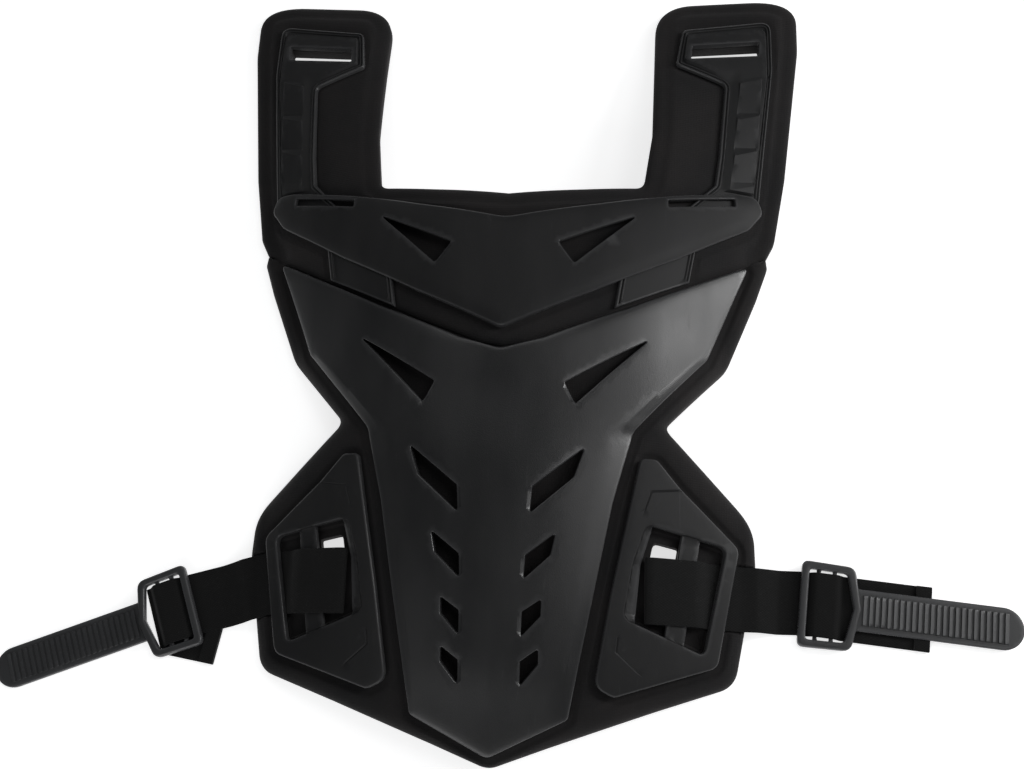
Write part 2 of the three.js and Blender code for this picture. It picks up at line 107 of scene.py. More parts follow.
LOWER_PLATE = [
    (0, -14.6, 12), (26, -6.8, 14), (78, 17.2, 40), (124, 42, 40), (155.1, 59.4, 2),
    (127.5, -7.8, 12), (82.6, -60.2, 12), (70.2, -105.5, 40), (46, -229.6, 4), (0, -252.5, 7),
]
UPPER_VENT = [(82.5, 78.5, 0.8), (33.8, 56, 1), (43.9, 42.3, 1.5)]
UPPER_SLOT = [(102, 93, 0.8), (146, 102.4, 0.8), (146, 97.2, 0.8), (102, 87.8, 0.8)]
# Inner crease of the bevelled band along the lower plate's side edge
BAND_CREASE = [
    (122.6, -7.4), (75.4, -57), (66.7, -63.8), (59.6, -108.6), (52.2, -160), (46.2, -194), (44.6, -212), (44.2, -222),
]
# The band's slope at the waist and along the leg, and the height of the leg's arch
WAIST_FALL, LEG_FALL, LEG_ARCH = 0.3, 0.17, 2.4
# Width and depth of the sloped wall along a vent's inner edge
VENT_SLOPE, VENT_DROP = 2.4, 1.0
LOWER_VENTS = [
    [(91, -1.2, 0.6), (39.8, -34, 1), (46.5, -46.8, 1)],
    [(52.6, -73.5, 1), (22.4, -98.2, 1), (21.4, -114, 1), (46.4, -91.6, 2)],
    [(36.6, -125, 1), (19.5, -138.3, 1), (18.8, -152, 1), (33.9, -137.8, 2)],
    [(29.3, -163, 1), (18.4, -170.5, 1), (18.1, -184.5, 1), (29.1, -172.6, 2)],
    [(28.2, -190.9, 1), (18, -198.2, 1), (18, -212, 1), (28.3, -199.5, 2)],
]
SHOULDER_PLATE = [
    (162.2, 97, 8), (173.6, 205, 40), (173.2, 245, 8), (112, 236, 5), (107.5, 203.6, 4), (140.8, 189.5, 5),
    (136.2, 132, 30), (133.4, 111, 4), (74, 46, 10), (69.5, 16.4, 0), (116.4, 40.6, 0), (122, 72, 10),
]
SHOULDER_BODY = [
    (159.4, 108.4, 2), (161.4, 124, 10), (170.2, 200, 30), (169.8, 239, 6), (115, 232, 4),
    (112, 206.5, 4), (145.2, 192, 5), (137.2, 107.4, 0),
]
SHOULDER_SLOT = [(164.4, 226.6, 0.8), (118.6, 220.6, 0.8), (117.4, 208.6, 0.8), (163.4, 215.2, 0.8)]
SHOULDER_PANELS = [
    [(166, 196), (150, 190), (149, 167), (165, 170)],
    [(164.5, 167.4), (149, 161.6), (147.2, 140.2), (162.8, 143.4)],
    [(162, 141), (146.4, 134.2), (143, 114.4), (159.4, 118)],
]
# The start of one more louver, which the chest bar covers
COVERED_PANEL = [(159.4, 115.4), (143, 108.8), (141, 88), (157, 92)]
SHOULDER_BEVEL = 5.0
HIP_PLATE = [
    (96, -76.5, 5), (86.4, -76.8, 4), (69.7, -158, 0), (60.6, -211, 9), (72, -216.4, 6),
    (132.4, -196.4, 8), (146.3, -125.6, 8), (110.5, -93, 0),
]
HIP_WINDOW = [(138.4, -125.8, 5), (90, -116.2, 6), (82.4, -139.5, 6), (77, -171.4, 6), (124.4, -190, 4)]
HIP_BAR = [(123.4, -119), (112.2, -117), (100.8, -184), (112.4, -188)]
# Hole through the pad behind the bar's inner side, and the low edge of the sloped wall at the window's inner side
HIP_HOLE = [(108.4, -127.6, 1), (94, -125, 3), (91, -140, 0), (91, -150, 0), (104.6, -150, 0)]
HIP_FOOT = [(94.8, -116), (87.4, -139.9), (84.0, -176)]
# Two bent grooves in a hip frame's front, and their half width and depth
HIP_GROOVES = [[(110.2, -94), (92.6, -96.4), (88.7, -107.8)], [(73.7, -182.9), (73, -190.7), (85.7, -201.7)]]
GROOVE_HALF, GROOVE_DEPTH = 0.8, 0.5

BUCKLE = [(0, 26, 4), (31.4, 25, 6), (36.2, 0, 2), (31.4, -25, 6), (0, -26, 4)]
BUCKLE_OPEN = [(4.6, 21.2, 2), (27.2, 20.6, 3), (31.8, 0, 1), (27.2, -20.6, 3), (4.6, -21.2, 2)]
BUCKLE_BARS = [(9, 11.5), (18.5, 21)]
# A rib's cross-section, in parts of the pitch: steep towards the buckle, sloping towards the tip
RIB_PHASES = [-0.366, -0.33, 0.33, 0.366]
RIB_HEIGHTS = [0, 1.1, 0.2, 0]
# side, buckle's inner edge x y, droop in degrees, base, tip base, hip bar y
STRAPS = {"right": (1, 182, -154.6, 5.7, 2, 2, -154.6), "left": (-1, -189.4, -166.6, 21, 3.6, 0.1, -153.6)}
# Length of a turn in the webbing, the hip bar's x, and the bend's distance from it
TURN_LENGTH, BAR_X, BEND = 18.0, 112.6, 30.0
# Webbing from the hip bar outwards: distance, middle height above the form
WEB_LOOP = [
    (8.5, 8.8), (-6, 8.8), (-18.8, 8.8), (-22.2, 10), (-23.2, 11.4), (-22.2, 12.9), (-18.8, 14),
    (-8, 14), (3.4, 14.1), (7, 14),
    (10.5, 12.7), (15.2, 8.9), (20, 8.2), (33.5, 8.2), (44, 7.9),
]
# The webbing's end beyond the buckle's inner edge
WEB_TAIL_RIGHT, WEB_END_LEFT = 77.0, 28
WEB_TAIL_LEFT = [(-205, -178.6), (-171.3, -184.2)]

# ---- the form and flat outlines

FORM_SOFT = 0.0009  # rounds the form's meeting with the floor
CHUNK = 1500  # points measured at a time


def column(k, y):
    """The form's height (k = 1) or half width (k = 2) at y, smoothly from row to row."""
    i = np.clip(np.searchsorted(FORM[:, 0], y) - 1, 0, len(FORM) - 2)
    a, b = FORM[i], FORM[i + 1]
    before, after = FORM[np.maximum(i - 1, 0)], FORM[np.minimum(i + 2, len(FORM) - 1)]
    span = b[..., 0] - a[..., 0]
    t = (y - a[..., 0]) / span
    slope_a = (b[..., k] - before[..., k]) / (b[..., 0] - before[..., 0]) * span
    slope_b = (after[..., k] - a[..., k]) / (after[..., 0] - a[..., 0]) * span
    from_a, from_b = 2 * t**3 - 3 * t**2 + 1, 3 * t**2 - 2 * t**3
    leave, arrive = t**3 - 2 * t**2 + t, t**3 - t**2
    return from_a * a[..., k] + leave * slope_a + from_b * b[..., k] + arrive * slope_b


def form(x, y):
    """Height of the pads' back above the floor."""
    y = np.clip(y, FORM[0, 0], FORM[-1, 0])
    t = 1 - (x / column(2, y)) ** 2
    return column(1, y) * (t + np.sqrt(t * t + FORM_SOFT)) / 2


def lean(x, y):
    """Sideways part of the form's normal."""
    fx = (form(x + 1, y) - form(x - 1, y)) / 2
    fy = (form(x, y + 1) - form(x, y - 1)) / 2
    size = np.sqrt(1 + fx * fx + fy * fy)
    return -fx / size, -fy / size


def on_form(ref):
    """Places flat x, y and height over the form, with walls square to the form's surface."""
    def place(x, y, h):
        nx, ny = lean(x, y)
        x, y = x - nx * (ref - h), y - ny * (ref - h)
        return np.stack([x, y, form(x, y) + h], -1)
    return place


def upright(x, y, h):
    """Places flat x, y and height straight above the form."""
    return np.stack([x, y, form(x, y) + h], -1)


def mirrored(rows):
    return [(-row[0], *row[1:]) for row in rows][::-1]


def both_halves(rows):
    return [*rows, *mirrored([row for row in rows if row[0] > 0])]


def own_side(rows, side):
    return list(rows) if side > 0 else mirrored(rows)


def divided(a, b, step):
    """Points from a up to b, without b, no further apart than step."""
    n = max(1, math.ceil(np.linalg.norm(b - a) / step))
    return [a + (b - a) * i / n for i in range(n)]


def split_long(points, step):
    return np.array([p for a, b in zip(points, np.roll(points, -1, 0)) for p in divided(a, b, step)])


def outline(rows, step=3.0):
    """Closed outline, counter-clockwise, with its corners rounded."""
    points = []
    for i, row in enumerate(rows):
        c = np.array(row[:2], float)
        r = row[2] if len(row) > 2 else 0
        a, b = np.array(rows[i - 1][:2]) - c, np.array(rows[(i + 1) % len(rows)][:2]) - c
        la, lb = np.linalg.norm(a), np.linalg.norm(b)
        half = math.acos(max(-1, min(1, a @ b / (la * lb)))) / 2
        reach = r / math.tan(half) if r else 0
        if reach < 0.2:
            points.append(c)
            continue
        p, q = c + a / la * min(reach, 0.48 * la), c + b / lb * min(reach, 0.48 * lb)
        n = int(min(14, max(4, np.linalg.norm(p - q) / 1.5)))
        for t in np.linspace(0, 1, n + 1):
            points.append((1 - t) ** 2 * p + 2 * t * (1 - t) * c + t * t * q)
    points = np.array(points)
    x, y = points.T
    if np.sum(x * np.roll(y, -1) - np.roll(x, -1) * y) < 0:
        points = points[::-1]
    return split_long(points, step)


def away(path, points, closed=True, only=None):
    """Distance of each point from a path, or from only some of its stretches."""
    a = path
    b = np.roll(path, -1, 0)
    if not closed:
        a, b = a[:-1], b[:-1]
    if only is not None:
        a, b = a[only], b[only]
    d = b - a
    size = np.maximum((d * d).sum(1), 1e-9)
    out = np.empty(len(points))
    for i in range(0, len(points), CHUNK):
        p = points[i : i + CHUNK, None]
        t = np.clip(((p - a) * d).sum(2) / size, 0, 1)
        out[i : i + CHUNK] = np.sqrt((((a + t[..., None] * d) - p) ** 2).sum(2).min(1))
    return out


def within(path, points):
    """Which points lie inside a closed path."""
    a, b = path, np.roll(path, -1, 0)
    out = np.empty(len(points), bool)
    for i in range(0, len(points), CHUNK):
        x, y = points[i : i + CHUNK, 0, None], points[i : i + CHUNK, 1, None]
        across = (a[:, 1] > y) != (b[:, 1] > y)
        rise = np.where(b[:, 1] == a[:, 1], 1e-9, b[:, 1] - a[:, 1])
        crossed = across & (x < (b[:, 0] - a[:, 0]) * (y - a[:, 1]) / rise + a[:, 0])
        out[i : i + CHUNK] = crossed.sum(1) % 2 == 1
    return out


def ring(path, distance):
    """The outline moved inwards, without the parts that come too near to it elsewhere."""
    d = np.roll(path, -1, 0) - path
    d /= np.maximum(np.linalg.norm(d, axis=1), 1e-9)[:, None]
    normal = np.stack([-d[:, 1], d[:, 0]], 1)
    mean = normal + np.roll(normal, 1, 0)
    mean /= np.maximum((mean * normal).sum(1), 0.35)[:, None]
    spots = path + mean * distance
    spots = spots[away(path, spots) > abs(distance) - 0.04]
    keep = [spots[0]]
    for spot in spots[1:]:
        if np.linalg.norm(spot - keep[-1]) > 0.35:
            keep.append(spot)
    return np.array(keep)


def clipped(path, spot, normal):
    """The part of a convex outline on the side that normal points to."""
    side = (path - np.array(spot)) @ np.array(normal)
    out = []
    for i in range(len(path)):
        j = (i + 1) % len(path)
        if side[i] >= 0:
            out.append(path[i])
        if side[i] * side[j] < 0:
            out.append(path[i] + (path[j] - path[i]) * side[i] / (side[i] - side[j]))
    return np.array(out)


def smooth(x, low, high):
    t = np.clip((x - low) / (high - low), 0, 1)
    return t * t * (3 - 2 * t)


def fillet(d, r):
    """How much a rounded edge of radius r lies below the flat, at distance d from it."""
    t = np.clip(1 - d / r, 0, 1)
    return r * (1 - np.sqrt(1 - t * t))


def bump(d, middle, half):
    """A rounded ridge of height 1 at distance middle from an edge."""
    return np.maximum(0, 1 - ((d - middle) / half) ** 2)


# ---- meshes

# Within this reach the rims are also painted paler, as a painted highlight
RIM_REACH = 1.8  # distance from an edge over which the plastic is polished
ON_LINE = 0.04  # a point nearer than this lies on a crease


def skin(outer, holes, lines, grid, top, low, place, hard=()):
    """A closed shell between two height fields over an outline with holes.

    Gives its points, faces, hard creases and how near each point is to a rim.
    """
    spots, edges = [], []

    def add(path, closed):
        first = len(spots)
        spots.extend(path)
        edges.extend((first + i, first + i + 1) for i in range(len(path) - 1))
        if closed:
            edges.append((len(spots) - 1, first))

    for path in (outer, *holes):
        add(path, True)
    for line in (*lines, *hard):
        add(*(line if isinstance(line, tuple) else (line, True)))
    tree = KDTree(len(spots))
    for i, spot in enumerate(spots):
        tree.insert((spot[0], spot[1], 0), i)
    tree.balance()
    (x0, y0), (x1, y1) = outer.min(0), outer.max(0)
    inner = []
    for j, y in enumerate(np.arange(y0, y1, grid * 0.866)):
        inner += [(x, y) for x in np.arange(x0 + (j % 2) * grid / 2, x1, grid)]
    inner = np.array(inner)
    keep = within(outer, inner)
    for hole in holes:
        keep &= ~within(hole, inner)
    inner = [p for p in inner[keep] if tree.find((p[0], p[1], 0))[2] > 0.6 * grid]
    result = delaunay_2d_cdt([Vector(p) for p in [*spots, *inner]], edges, [], 0, 1e-4)
    flat = np.array([tuple(v) for v in result[0]])
    faces = np.array(result[2])
    a, b, c = flat[faces[:, 0]], flat[faces[:, 1]], flat[faces[:, 2]]
    area = (b[:, 0] - a[:, 0]) * (c[:, 1] - a[:, 1]) - (b[:, 1] - a[:, 1]) * (c[:, 0] - a[:, 0])
    faces[area < 0] = faces[area < 0][:, ::-1]
    middle = (a + b + c) / 3
    keep = within(outer, middle) & (np.abs(area) > 1e-7)
    for hole in holes:
        keep &= ~within(hole, middle)
    faces = faces[keep]
    used = np.unique(faces)
    index = np.full(len(flat), -1)
    index[used] = np.arange(len(used))
    flat, faces = flat[used], index[faces]
    n = len(flat)
    high, deep = top(flat), low(flat)
    points = np.concatenate([place(flat[:, 0], flat[:, 1], high), place(flat[:, 0], flat[:, 1], deep)])
    shell = [tuple(f) for f in faces] + [(f[2] + n, f[1] + n, f[0] + n) for f in faces]
    seen = {}
    for f in faces:
        for p, q in ((f[0], f[1]), (f[1], f[2]), (f[2], f[0])):
            if seen.pop((q, p), None) is None:
                seen[(p, q)] = True
    shell += [(q, p, p + n, q + n) for p, q in seen]
    sides = np.concatenate([faces[:, [0, 1]], faces[:, [1, 2]], faces[:, [2, 0]]])
    sides = np.unique(np.sort(sides, axis=1), axis=0)
    creases = []
    for line in hard:
        path, closed = line if isinstance(line, tuple) else (line, True)
        near = away(path, flat, closed) < ON_LINE
        picked = sides[near[sides[:, 0]] & near[sides[:, 1]]]
        if len(picked):
            picked = picked[away(path, flat[picked].mean(1), closed) < ON_LINE]
        creases += [tuple(int(i) for i in pair) for pair in picked]
    rim = np.max([np.clip(1 - away(path, flat) / RIM_REACH, 0, 1) for path in (outer, *holes)], 0)
    return points, [tuple(int(i) for i in f) for f in shell], creases, [*rim, *rim]


def flat_low(height):
    return lambda p: np.full(len(p), float(height))


def build(name, shells, material, node, sharp=32, uv=None):
    """One piece from closed shells of millimetre points, in place of a node of the frame."""
    points, faces, creases, rims = [], [], set(), []
    for spots, shell, hard, *rim in shells:
        first = len(points)
        rims += rim[0] if rim else [0.0] * len(spots)
        points += [row_frame(*p) for p in spots]
        faces += [tuple(i + first for i in f) for f in shell]
        creases |= {(a + first, b + first) for a, b in hard}
    mesh = bpy.data.meshes.new(name)
    mesh.from_pydata(points, [], faces)
    mesh.attributes.new("rim", "FLOAT", "POINT").data.foreach_set("value", rims)
    if uv is not None:
        layer = mesh.uv_layers.new(name="UVMap")
        for loop in mesh.loops:
            layer.data[loop.index].uv = uv[loop.vertex_index]
    mesh.validate()
    mesh.shade_smooth()
    mesh.set_sharp_from_angle(angle=math.radians(sharp))
    for edge in mesh.edges if creases else ():
        if tuple(sorted(edge.vertices)) in creases:
            edge.use_edge_sharp = True
    mesh.materials.append(material)
    piece = bpy.data.objects.new(name, mesh)
    scene.collection.objects.link(piece)
    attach(piece, "root")
    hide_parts(node)
    return piece


# ---- materials


class Nodes:
    """Short calls for building one node material."""

    def __init__(self, name):
        self.material = bpy.data.materials.new(name)
        self.material.use_nodes = True
        self.tree = self.material.node_tree
        self.shader = self.tree.nodes["Principled BSDF"]

    def node(self, kind, inputs=None, **settings):
        made = self.tree.nodes.new(kind)
        for key, value in settings.items():
            setattr(made, key, value)
        for key, value in (inputs or {}).items():
            self.put(made.inputs[key], value)
        return made

    def put(self, socket, value):
        if isinstance(value, bpy.types.NodeSocket):
            self.tree.links.new(value, socket)
        else:
            socket.default_value = value

    def noise(self, coords, scale, detail=4.0, roughness=0.55):
        inputs = {"Vector": coords, "Scale": scale, "Detail": detail, "Roughness": roughness}
        return self.node("ShaderNodeTexNoise", inputs).outputs["Fac"]

    def span(self, value, low, high, to_low=0.0, to_high=1.0):
        inputs = {"Value": value, "From Min": low, "From Max": high, "To Min": to_low, "To Max": to_high}
        return self.node("ShaderNodeMapRange", inputs).outputs["Result"]

    def math(self, operation, a, b=0.0):
        return self.node("ShaderNodeMath", {0: a, 1: b}, operation=operation).outputs[0]

    def mix(self, factor, a, b):
        return self.node("ShaderNodeMix", {0: factor, 6: a, 7: b}, data_type="RGBA").outputs[2]

    def stretched(self, coords, scale):
        return self.node("ShaderNodeMapping", {"Vector": coords, "Scale": scale}).outputs["Vector"]

    def bumped(self, height, distance, strength, under=None):
        inputs = {"Height": height, "Distance": distance, "Strength": strength}
        if under is not None:
            inputs["Normal"] = under
        return self.node("ShaderNodeBump", inputs).outputs["Normal"]

    def finish(self, **inputs):
        for key, value in inputs.items():
            self.put(self.shader.inputs[key.replace("_", " ")], value)
        return self.material


# How far scuffs and edges go towards the worn colour, how far the rims are painted towards it as a highlight, and the
# roughness of a polished rim
SCUFF_PALE, EDGE_PALE, RIM_HIGHLIGHT, RIM_GLOSS = 0.3, 0.4, 0.4, 0.26
# Millimetres from warp to warp and from weft to weft
WARP_PITCH, WEFT_PITCH = 1.55, 2.3


def moulded_plastic(name, dark, pale, gloss, worn_and_highlight, shine=0.5):
    """Satin moulded plastic: spark-eroded grain, faint flow marks, handling scuffs, smoother rims painted paler as a
    highlight.
    """
    m = Nodes(name)
    coords = m.node("ShaderNodeTexCoord").outputs["Object"]
    flow = m.noise(m.stretched(coords, (1.0, 0.35, 1.0)), 26, 3)
    grain = m.noise(coords, 2300, 2)
    pits = m.node("ShaderNodeTexVoronoi", {"Vector": coords, "Scale": 1250.0}).outputs["Distance"]
    scuff = m.noise(m.stretched(coords, (1.6, 0.12, 1.0)), 190, 5, 0.7)
    scuff = m.math("MULTIPLY", m.span(scuff, 0.6, 0.74), m.span(m.noise(coords, 11, 2), 0.5, 0.66))
    polish_and_highlight = m.span(m.node("ShaderNodeAttribute", attribute_name="rim").outputs["Fac"], 0.2, 0.7)
    edge = m.span(m.node("ShaderNodeNewGeometry").outputs["Pointiness"], 0.515, 0.58)
    edge = m.math("MULTIPLY", edge, m.span(m.noise(coords, 75, 4), 0.3, 0.62, 0.7, 1.0))
    base = m.mix(m.span(flow, 0.35, 0.65), dark, pale)
    base = m.mix(m.math("MULTIPLY", scuff, SCUFF_PALE), base, worn_and_highlight)
    base = m.mix(m.math("MULTIPLY", edge, EDGE_PALE), base, worn_and_highlight)
    # Rims painted paler: a painted highlight along every edge
    base = m.mix(m.math("MULTIPLY", polish_and_highlight, RIM_HIGHLIGHT), base, worn_and_highlight)
    rough = m.span(flow, 0.3, 0.7, gloss - 0.05, gloss + 0.05)
    rough = m.math("ADD", rough, m.span(grain, 0.3, 0.7, -0.03, 0.03))
    rough = m.math("ADD", rough, m.math("MULTIPLY", scuff, 0.12))
    rough = m.math("SUBTRACT", rough, m.math("MULTIPLY", polish_and_highlight, gloss - RIM_GLOSS))
    normal = m.bumped(m.math("ADD", grain, m.math("MULTIPLY", pits, 0.6)), 0.00012, 0.32)
    return m.finish(Base_Color=base, Roughness=rough, Normal=normal, Specular_IOR_Level=shine)


def laminated_foam(name):
    """Knit fabric laminated on foam: fine loops, slight pilling, a brownish tone that varies at random."""
    m = Nodes(name)
    coords = m.node("ShaderNodeTexCoord").outputs["Object"]

    def loops(direction, scale):
        inputs = {"Vector": coords, "Scale": scale, "Distortion": 0.6, "Detail": 1.0}
        return m.node("ShaderNodeTexWave", inputs, bands_direction=direction).outputs["Fac"]

    knit = m.math("MULTIPLY", loops("X", 300.0), loops("Y", 215.0))
    fuzz = m.noise(coords, 900, 5, 0.7)
    soft = m.noise(coords, 22, 4)
    base = m.mix(m.span(soft, 0.35, 0.68), (0.0085, 0.0083, 0.0088, 1), (0.0145, 0.0128, 0.0128, 1))
    # Lighter on the knit's loops, darker between them: painted shade between the loops
    base = m.mix(m.math("MULTIPLY", knit, 0.2), base, (0.021, 0.0195, 0.0195, 1))
    base = m.mix(m.span(fuzz, 0.62, 0.8, 0.0, 0.4), base, (0.034, 0.031, 0.031, 1))
    normal = m.bumped(soft, 0.004, 0.06)
    normal = m.bumped(m.math("ADD", knit, m.math("MULTIPLY", fuzz, 0.8)), 0.0005, 0.2, normal)
    rough = m.span(fuzz, 0.3, 0.7, 0.82, 0.97)
    return m.finish(
        Base_Color=base, Roughness=rough, Normal=normal, Specular_IOR_Level=0.25,
        Sheen_Weight=0.12, Sheen_Roughness=0.45, Sheen_Tint=(0.75, 0.72, 0.72, 1),
    )


def woven_webbing(name):
    """Flat woven webbing: warp ribs along its length crossed by weft picks, with a rubbed surface."""
    m = Nodes(name)
    uv = m.node("ShaderNodeUVMap", uv_map="UVMap").outputs["UV"]
    part = m.node("ShaderNodeSeparateXYZ", {"Vector": uv}).outputs
    warp = m.math("SINE", m.math("MULTIPLY", part["Y"], 2 * math.pi / WARP_PITCH))
    weft = m.math("MULTIPLY", part["X"], 2 * math.pi / WEFT_PITCH)
    weft = m.math("ADD", weft, m.math("MULTIPLY", m.math("SIGN", warp), math.pi / 2))
    picks = m.math("ADD", m.math("MULTIPLY", m.math("SINE", weft), 0.5), 0.5)
    weave = m.math("MULTIPLY", m.math("ABSOLUTE", warp), picks)
    coords = m.node("ShaderNodeTexCoord").outputs["Object"]
    fibre = m.noise(coords, 1500, 4, 0.7)
    rub = m.noise(coords, 60, 4)
    # Darker in the weave's hollows between threads: painted shade
    base = m.mix(m.span(weave, 0.1, 0.9), (0.0078, 0.0078, 0.0078, 1), (0.0112, 0.0112, 0.0112, 1))
    rubbed = m.math("MULTIPLY", m.span(fibre, 0.55, 0.75), m.span(rub, 0.45, 0.7, 0.15, 0.7))
    base = m.mix(rubbed, base, (0.05, 0.05, 0.05, 1))
    normal = m.bumped(m.math("ADD", weave, m.math("MULTIPLY", fibre, 0.35)), 0.0007, 0.18)
    rough = m.span(weave, 0.0, 1.0, 0.9, 0.74)
    return m.finish(
        Base_Color=base, Roughness=rough, Normal=normal, Specular_IOR_Level=0.12,
        Sheen_Weight=0.06, Sheen_Roughness=0.5,
    )


SHELL_DARK, SHELL_PALE = (0.0125, 0.0125, 0.0130, 1), (0.0185, 0.0183, 0.0187, 1)
SHELL_WORN_AND_HIGHLIGHT = (0.075, 0.075, 0.077, 1)
SHELL = moulded_plastic("shell_plastic", SHELL_DARK, SHELL_PALE, 0.37, SHELL_WORN_AND_HIGHLIGHT)
SOFT_SHELL = moulded_plastic("soft_shell_plastic", SHELL_DARK, SHELL_PALE, 0.56, SHELL_WORN_AND_HIGHLIGHT, 0.22)
BUCKLE_LOOK = moulded_plastic(
    "buckle_plastic", (0.026, 0.0265, 0.0275, 1), (0.036, 0.0365, 0.038, 1), 0.46, (0.11, 0.11, 0.115, 1),
)
FOAM = laminated_foam("pad_fabric")
WEB = woven_webbing("webbing_weave")

# ---- pads

SIDES = {"right": 1, "left": -1}
lower_plate_path = outline(both_halves(LOWER_PLATE))
upper_plate_path = outline(both_halves(UPPER_PLATE))
shoulder_paths = {name: outline(own_side(SHOULDER_PLATE, side), 2.5) for name, side in SIDES.items()}
slot_paths = {name: outline(own_side(SHOULDER_SLOT, side), 2.0) for name, side in SIDES.items()}
hip_paths = {name: outline(own_side(HIP_PLATE, side), 2.5) for name, side in SIDES.items()}
window_paths = {name: outline(own_side(HIP_WINDOW, side), 2.0) for name, side in SIDES.items()}


def heading(angle):
    """Directions along and across a heading."""
    return np.array((math.cos(angle), math.sin(angle))), np.array((-math.sin(angle), math.cos(angle)))


def strap_run(strap):
    """Hip bar, bend and buckle of a strap, with the directions of its three stretches."""
    side, x, y, droop, _, _, bar_y = strap
    bar, bend = np.array((side * BAR_X, bar_y)), np.array((side * (BAR_X + BEND), bar_y))
    web = math.atan2(y - bend[1], x - bend[0])
    if side > 0:
        return bar, bend, (0.0, web, -math.radians(droop))
    return bar, bend, (math.pi, web + 2 * math.pi, math.pi + math.radians(droop))


# Edge profiles: distance from the edge, height
UPPER_EDGE = [(0, 5.0), (0.6, 6.1), (1.7, 7.0), (3.6, 7.8), (6.5, 8.3), (9, 8.4), (11, 9.1), (13, 9.8), (15, 10)]
LOWER_EDGE = [(0, 5.0), (0.7, 6.5), (1.8, 7.8), (3.6, 9.0), (6, 9.7), (8.5, 10)]
SEAM_EDGE = [(0, 8.6), (0.8, 9.3), (2, 9.8), (3.8, 10)]
# Where the pads meet, how near to it an edge counts as the seam, and the x where it ends
SEAM = [(0, -11), (14, -8.6), (50, 7), (108, 36), (154, 61.6), (166.8, 69)]
SEAM_NEAR, SEAM_END = 3, 163
# Depth of a pad's bed round its plates and of the hollow under them
UPPER_BED, UPPER_HOLLOW = 0.9, 2.0
LOWER_BED, LOWER_HOLLOW = 1.7, 2.2
# Pocket in a hip window, and a webbing channel's half width at its floor and rim
POCKET_TOP, POCKET_FALL = 8.3, 1.9
CHANNEL_FLOOR, CHANNEL_HALF, CHANNEL_RIM, CHANNEL_RUNOUT = 6.7, 19.3, 21.2, 3


def edge_height(outer, p, profile):
    """Rounded free edge, and the fuller edge where the two pads meet."""
    middle = (outer + np.roll(outer, -1, 0)) / 2
    seam_x, seam_y = zip(*SEAM)
    off = np.abs(middle[:, 1] - np.interp(np.abs(middle[:, 0]), seam_x, seam_y))
    seam = (off < SEAM_NEAR) & (np.abs(middle[:, 0]) < SEAM_END)
    free = np.interp(away(outer, p, only=~seam), *zip(*profile))
    return np.minimum(free, np.interp(away(outer, p, only=seam), *zip(*SEAM_EDGE)))


def wavy(p):
    """Slight unevenness of soft foam."""
    x, y = p.T
    return 0.10 * np.sin(x / 17 + 1.3 * np.sin(y / 29)) * np.sin(y / 21 + 0.7) - 0.10


def upper_pad():
    outer = outline(both_halves(UPPER_PAD), 2.5)
    holes = list(slot_paths.values())
    beds = [upper_plate_path, *shoulder_paths.values()]

    def top(p):
        height = edge_height(outer, p, UPPER_EDGE) + wavy(p)
        near = np.min([np.where(within(bed, p), 0, away(bed, p)) for bed in beds], 0)
        covered = np.where(within(upper_plate_path, p), smooth(away(upper_plate_path, p), 9, 14), 0)
        return np.minimum(height, PAD_TOP - UPPER_BED * (1 - smooth(near, 1.5, 4.0)) - UPPER_HOLLOW * covered)

    lines = [ring(outer, d) for d, _ in UPPER_EDGE[1:]]
    lines += [ring(bed, -d) for bed in beds for d in (1.5, 4.0)]
    shell = skin(outer, holes, lines, 4.2, top, flat_low(0), upright)
    build("Upper_Pad", [shell], FOAM, "upper_pad")


def lower_pad():
    outer = outline(both_halves(LOWER_PAD), 2.5)
    holes = [outline(own_side(HIP_HOLE, side), 2.0) for side in (1, -1)]
    pockets = [ring(path, 1.5) for path in window_paths.values()]
    beds = [lower_plate_path, *hip_paths.values()]
    channels = []
    for strap in STRAPS.values():
        bar, bend, angles = strap_run(strap)
        channels += [(bar, *heading(angles[0]), 2.0, BEND + 3), (bend, *heading(angles[1]), -5.0, 44.0)]

    def top(p):
        height = edge_height(outer, p, LOWER_EDGE) + wavy(p)
        near = np.min([np.where(within(bed, p), 0, away(bed, p)) for bed in beds], 0)
        height -= LOWER_BED * (1 - smooth(near, 1.6, 5.4)) * smooth(height, 5, 9)
        covered = np.where(within(lower_plate_path, p), smooth(away(lower_plate_path, p), 9, 14), 0)
        height -= LOWER_HOLLOW * covered
        for pocket in pockets:
            sunk = POCKET_TOP - POCKET_FALL * smooth(away(pocket, p), 0, 1.2)
            height = np.where(within(pocket, p), np.minimum(height, sunk), height)
        for start, along, across, first, last in channels:
            u, t = (p - start) @ along, np.abs((p - start) @ across)
            inside = (1 - smooth(t, CHANNEL_HALF, CHANNEL_RIM)) * smooth(u, first, first + CHANNEL_RUNOUT)
            inside = inside * (1 - smooth(u, last, last + CHANNEL_RUNOUT))
            height = np.where(inside > 0, np.minimum(height, CHANNEL_FLOOR + 4 * (1 - inside)), height)
        return height

    lines = [ring(outer, d) for d, _ in LOWER_EDGE[1:]]
    lines += [ring(bed, -d) for bed in beds for d in (1.6, 2.8, 4.2, 5.4)]
    lines += [ring(pocket, d) for pocket in pockets for d in (0.02, 1.2)]
    for start, along, across, first, last in channels:
        for t in (-CHANNEL_RIM, -CHANNEL_HALF, CHANNEL_HALF, CHANNEL_RIM):
            line = np.array([start + along * u + across * t for u in np.arange(first, last, 3)])
            lines.append((line, False))
    shell = skin(outer, holes, lines, 4.2, top, flat_low(0), upright)
    build("Lower_Pad", [shell], FOAM, "lower_pad")


# ---- plates


def rounded_lines(path, radius, hole=False):
    """Mesh lines along a rounded edge."""
    return [ring(path, (-1 if hole else 1) * radius * k) for k in (0.08, 0.3, 0.62, 1.0)]


def square_to(a, b, out):
    """Flat direction square to the line from a to b, towards positive or negative x."""
    normal = np.array((a[1] - b[1], b[0] - a[0])) / np.linalg.norm(b - a)
    return normal * np.sign(normal[0] * out)


